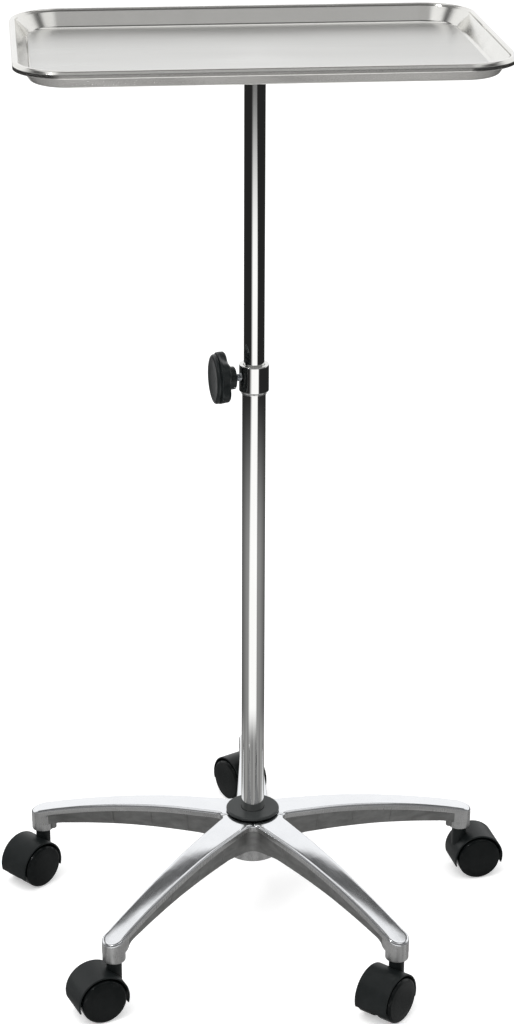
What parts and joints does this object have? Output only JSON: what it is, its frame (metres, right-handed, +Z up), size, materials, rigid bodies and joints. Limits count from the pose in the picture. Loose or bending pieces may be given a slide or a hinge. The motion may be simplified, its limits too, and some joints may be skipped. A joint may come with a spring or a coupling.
{
  "type": "instrument cart",
  "caption": "Instrument cart: rectangular steel tray on a telescoping chrome mast with a side clamp knob, star base and hooded twin-wheel casters.",
  "frame": {"origin": "mast axis at the underside of the base hub, on the face of the column bolt's head; the floor is 76.4 mm below", "axes": "+Z up along the mast; X along the tray's long side; the clamp knob points towards -X"},
  "size_m": [0.5832, 0.5731, 1.0004],
  "materials": {
    "cast_aluminium": "die cast; tops of the legs polished, side walls left as cast",
    "chrome_tube": "bright chrome plate",
    "stainless_tray": "satin stainless sheet",
    "zinc_hardware": "bright zinc plate",
    "black_knob": "satin moulded",
    "black_cap": "satin moulded",
    "caster_hood": "satin moulded nylon",
    "caster_wheel": "smooth moulded nylon, worn tread",
    "white_nylon": "natural nylon",
    "black_rubber": "moulded rubber"
  },
  "bodies": {
    "base": {"base_casting": "cast_aluminium", "base_bolt": "zinc_hardware", "base_bolt_washer": "zinc_hardware", "lower_tube": "chrome_tube", "lower_tube_plug": "zinc_hardware", "column_cover_disc": "black_cap", "collar": "chrome_tube", "collar_bush": "white_nylon", "caster_back_stem": "zinc_hardware", "caster_left_stem": "zinc_hardware", "caster_front_left_stem": "zinc_hardware", "caster_front_right_stem": "zinc_hardware", "caster_right_stem": "zinc_hardware"},
    "mast_glide": {"upper_tube_glide": "white_nylon"},
    "mast": {"upper_tube": "chrome_tube", "tray_socket": "zinc_hardware", "socket_grub_screw": "zinc_hardware", "tray_support_plate": "zinc_hardware", "tray_grommet_front_left": "black_rubber", "tray_grommet_front_right": "black_rubber", "tray_grommet_back_left": "black_rubber", "tray_grommet_back_right": "black_rubber"},
    "tray": {"tray": "stainless_tray", "tray_stud_front_left": "stainless_tray", "tray_stud_front_right": "stainless_tray", "tray_stud_back_left": "stainless_tray", "tray_stud_back_right": "stainless_tray"},
    "clamp_shoe": {"clamp_shoe": "white_nylon"},
    "clamp_knob": {"clamp_knob": "black_knob", "clamp_screw": "zinc_hardware"},
    "caster_back": {"caster_back_hood": "caster_hood", "caster_back_axle": "zinc_hardware"},
    "caster_back_wheel_left": {"caster_back_wheel_left": "caster_wheel"},
    "caster_back_wheel_right": {"caster_back_wheel_right": "caster_wheel"},
    "caster_left": {"caster_left_hood": "caster_hood", "caster_left_axle": "zinc_hardware"},
    "caster_left_wheel_left": {"caster_left_wheel_left": "caster_wheel"},
    "caster_left_wheel_right": {"caster_left_wheel_right": "caster_wheel"},
    "caster_front_left": {"caster_front_left_hood": "caster_hood", "caster_front_left_axle": "zinc_hardware"},
    "caster_front_left_wheel_left": {"caster_front_left_wheel_left": "caster_wheel"},
    "caster_front_left_wheel_right": {"caster_front_left_wheel_right": "caster_wheel"},
    "caster_front_right": {"caster_front_right_hood": "caster_hood", "caster_front_right_axle": "zinc_hardware"},
    "caster_front_right_wheel_left": {"caster_front_right_wheel_left": "caster_wheel"},
    "caster_front_right_wheel_right": {"caster_front_right_wheel_right": "caster_wheel"},
    "caster_right": {"caster_right_hood": "caster_hood", "caster_right_axle": "zinc_hardware"},
    "caster_right_wheel_left": {"caster_right_wheel_left": "caster_wheel"},
    "caster_right_wheel_right": {"caster_right_wheel_right": "caster_wheel"}
  },
  "joints": [
    {"name": "mast_height", "type": "slide", "parent": "base", "child": "mast_glide", "axis": [0, 0, 1], "range_m": [-0.16, 0.27]},
    {"name": "mast_turn", "type": "hinge", "parent": "mast_glide", "child": "mast", "pos_m": [0, 0, 0.5], "axis": [0, 0, 1], "continuous": true},
    {"name": "tray_lift", "type": "slide", "parent": "mast", "child": "tray", "axis": [0, 0, 1], "range_m": [0, 0.05]},
    {"name": "clamp_advance", "type": "slide", "parent": "base", "child": "clamp_shoe", "axis": [-0.9903, -0.1387, 0], "range_m": [-0.00021, 0.0025]},
    {"name": "knob_turn", "type": "hinge", "parent": "clamp_shoe", "child": "clamp_knob", "pos_m": [-0.01981, -0.00277, 0.565], "axis": [-0.9903, -0.1387, 0], "range_deg": [-61, 721]},
    {"name": "caster_back_swivel", "type": "hinge", "parent": "base", "child": "caster_back", "pos_m": [0.02234, 0.25382, -0.015], "axis": [0, 0, 1], "continuous": true},
    {"name": "caster_back_left_wheel_spin", "type": "hinge", "parent": "caster_back", "child": "caster_back_wheel_left", "pos_m": [0.01285, 0.27074, -0.0514], "axis": [-0.8721, -0.4894, 0], "continuous": true},
    {"name": "caster_back_right_wheel_spin", "type": "hinge", "parent": "caster_back", "child": "caster_back_wheel_right", "pos_m": [0.01285, 0.27074, -0.0514], "axis": [-0.8721, -0.4894, 0], "continuous": true},
    {"name": "caster_left_swivel", "type": "hinge", "parent": "base", "child": "caster_left", "pos_m": [-0.23449, 0.09968, -0.015], "axis": [0, 0, 1], "continuous": true},
    {"name": "caster_left_left_wheel_spin", "type": "hinge", "parent": "caster_left", "child": "caster_left_wheel_left", "pos_m": [-0.24924, 0.08708, -0.0514], "axis": [0.6494, -0.7604, 0], "continuous": true},
    {"name": "caster_left_right_wheel_spin", "type": "hinge", "parent": "caster_left", "child": "caster_left_wheel_right", "pos_m": [-0.24924, 0.08708, -0.0514], "axis": [0.6494, -0.7604, 0], "continuous": true},
    {"name": "caster_front_left_swivel", "type": "hinge", "parent": "base", "child": "caster_front_left", "pos_m": [-0.16726, -0.19221, -0.015], "axis": [0, 0, 1], "continuous": true},
    {"name": "caster_front_left_left_wheel_spin", "type": "hinge", "parent": "caster_front_left", "child": "caster_front_left_wheel_left", "pos_m": [-0.18557, -0.19862, -0.0514], "axis": [0.3305, -0.9438, 0], "continuous": true},
    {"name": "caster_front_left_right_wheel_spin", "type": "hinge", "parent": "caster_front_left", "child": "caster_front_left_wheel_right", "pos_m": [-0.18557, -0.19862, -0.0514], "axis": [0.3305, -0.9438, 0], "continuous": true},
    {"name": "caster_front_right_swivel", "type": "hinge", "parent": "base", "child": "caster_front_right", "pos_m": [0.13112, -0.21848, -0.015], "axis": [0, 0, 1], "continuous": true},
    {"name": "caster_front_right_left_wheel_spin", "type": "hinge", "parent": "caster_front_right", "child": "caster_front_right_wheel_left", "pos_m": [0.11776, -0.23255, -0.0514], "axis": [0.7254, -0.6884, 0], "continuous": true},
    {"name": "caster_front_right_right_wheel_spin", "type": "hinge", "parent": "caster_front_right", "child": "caster_front_right_wheel_right", "pos_m": [0.11776, -0.23255, -0.0514], "axis": [0.7254, -0.6884, 0], "continuous": true},
    {"name": "caster_right_swivel", "type": "hinge", "parent": "base", "child": "caster_right", "pos_m": [0.2483, 0.05719, -0.015], "axis": [0, 0, 1], "continuous": true},
    {"name": "caster_right_left_wheel_spin", "type": "hinge", "parent": "caster_right", "child": "caster_right_wheel_left", "pos_m": [0.26753, 0.05972, -0.0514], "axis": [-0.1305, 0.9914, 0], "continuous": true},
    {"name": "caster_right_right_wheel_spin", "type": "hinge", "parent": "caster_right", "child": "caster_right_wheel_right", "pos_m": [0.26753, 0.05972, -0.0514], "axis": [-0.1305, 0.9914, 0], "continuous": true}
  ],
  "couplings": [
    {"joint": "knob_turn", "follows": "clamp_advance", "rad_per_m": 5026.5}
  ]
}
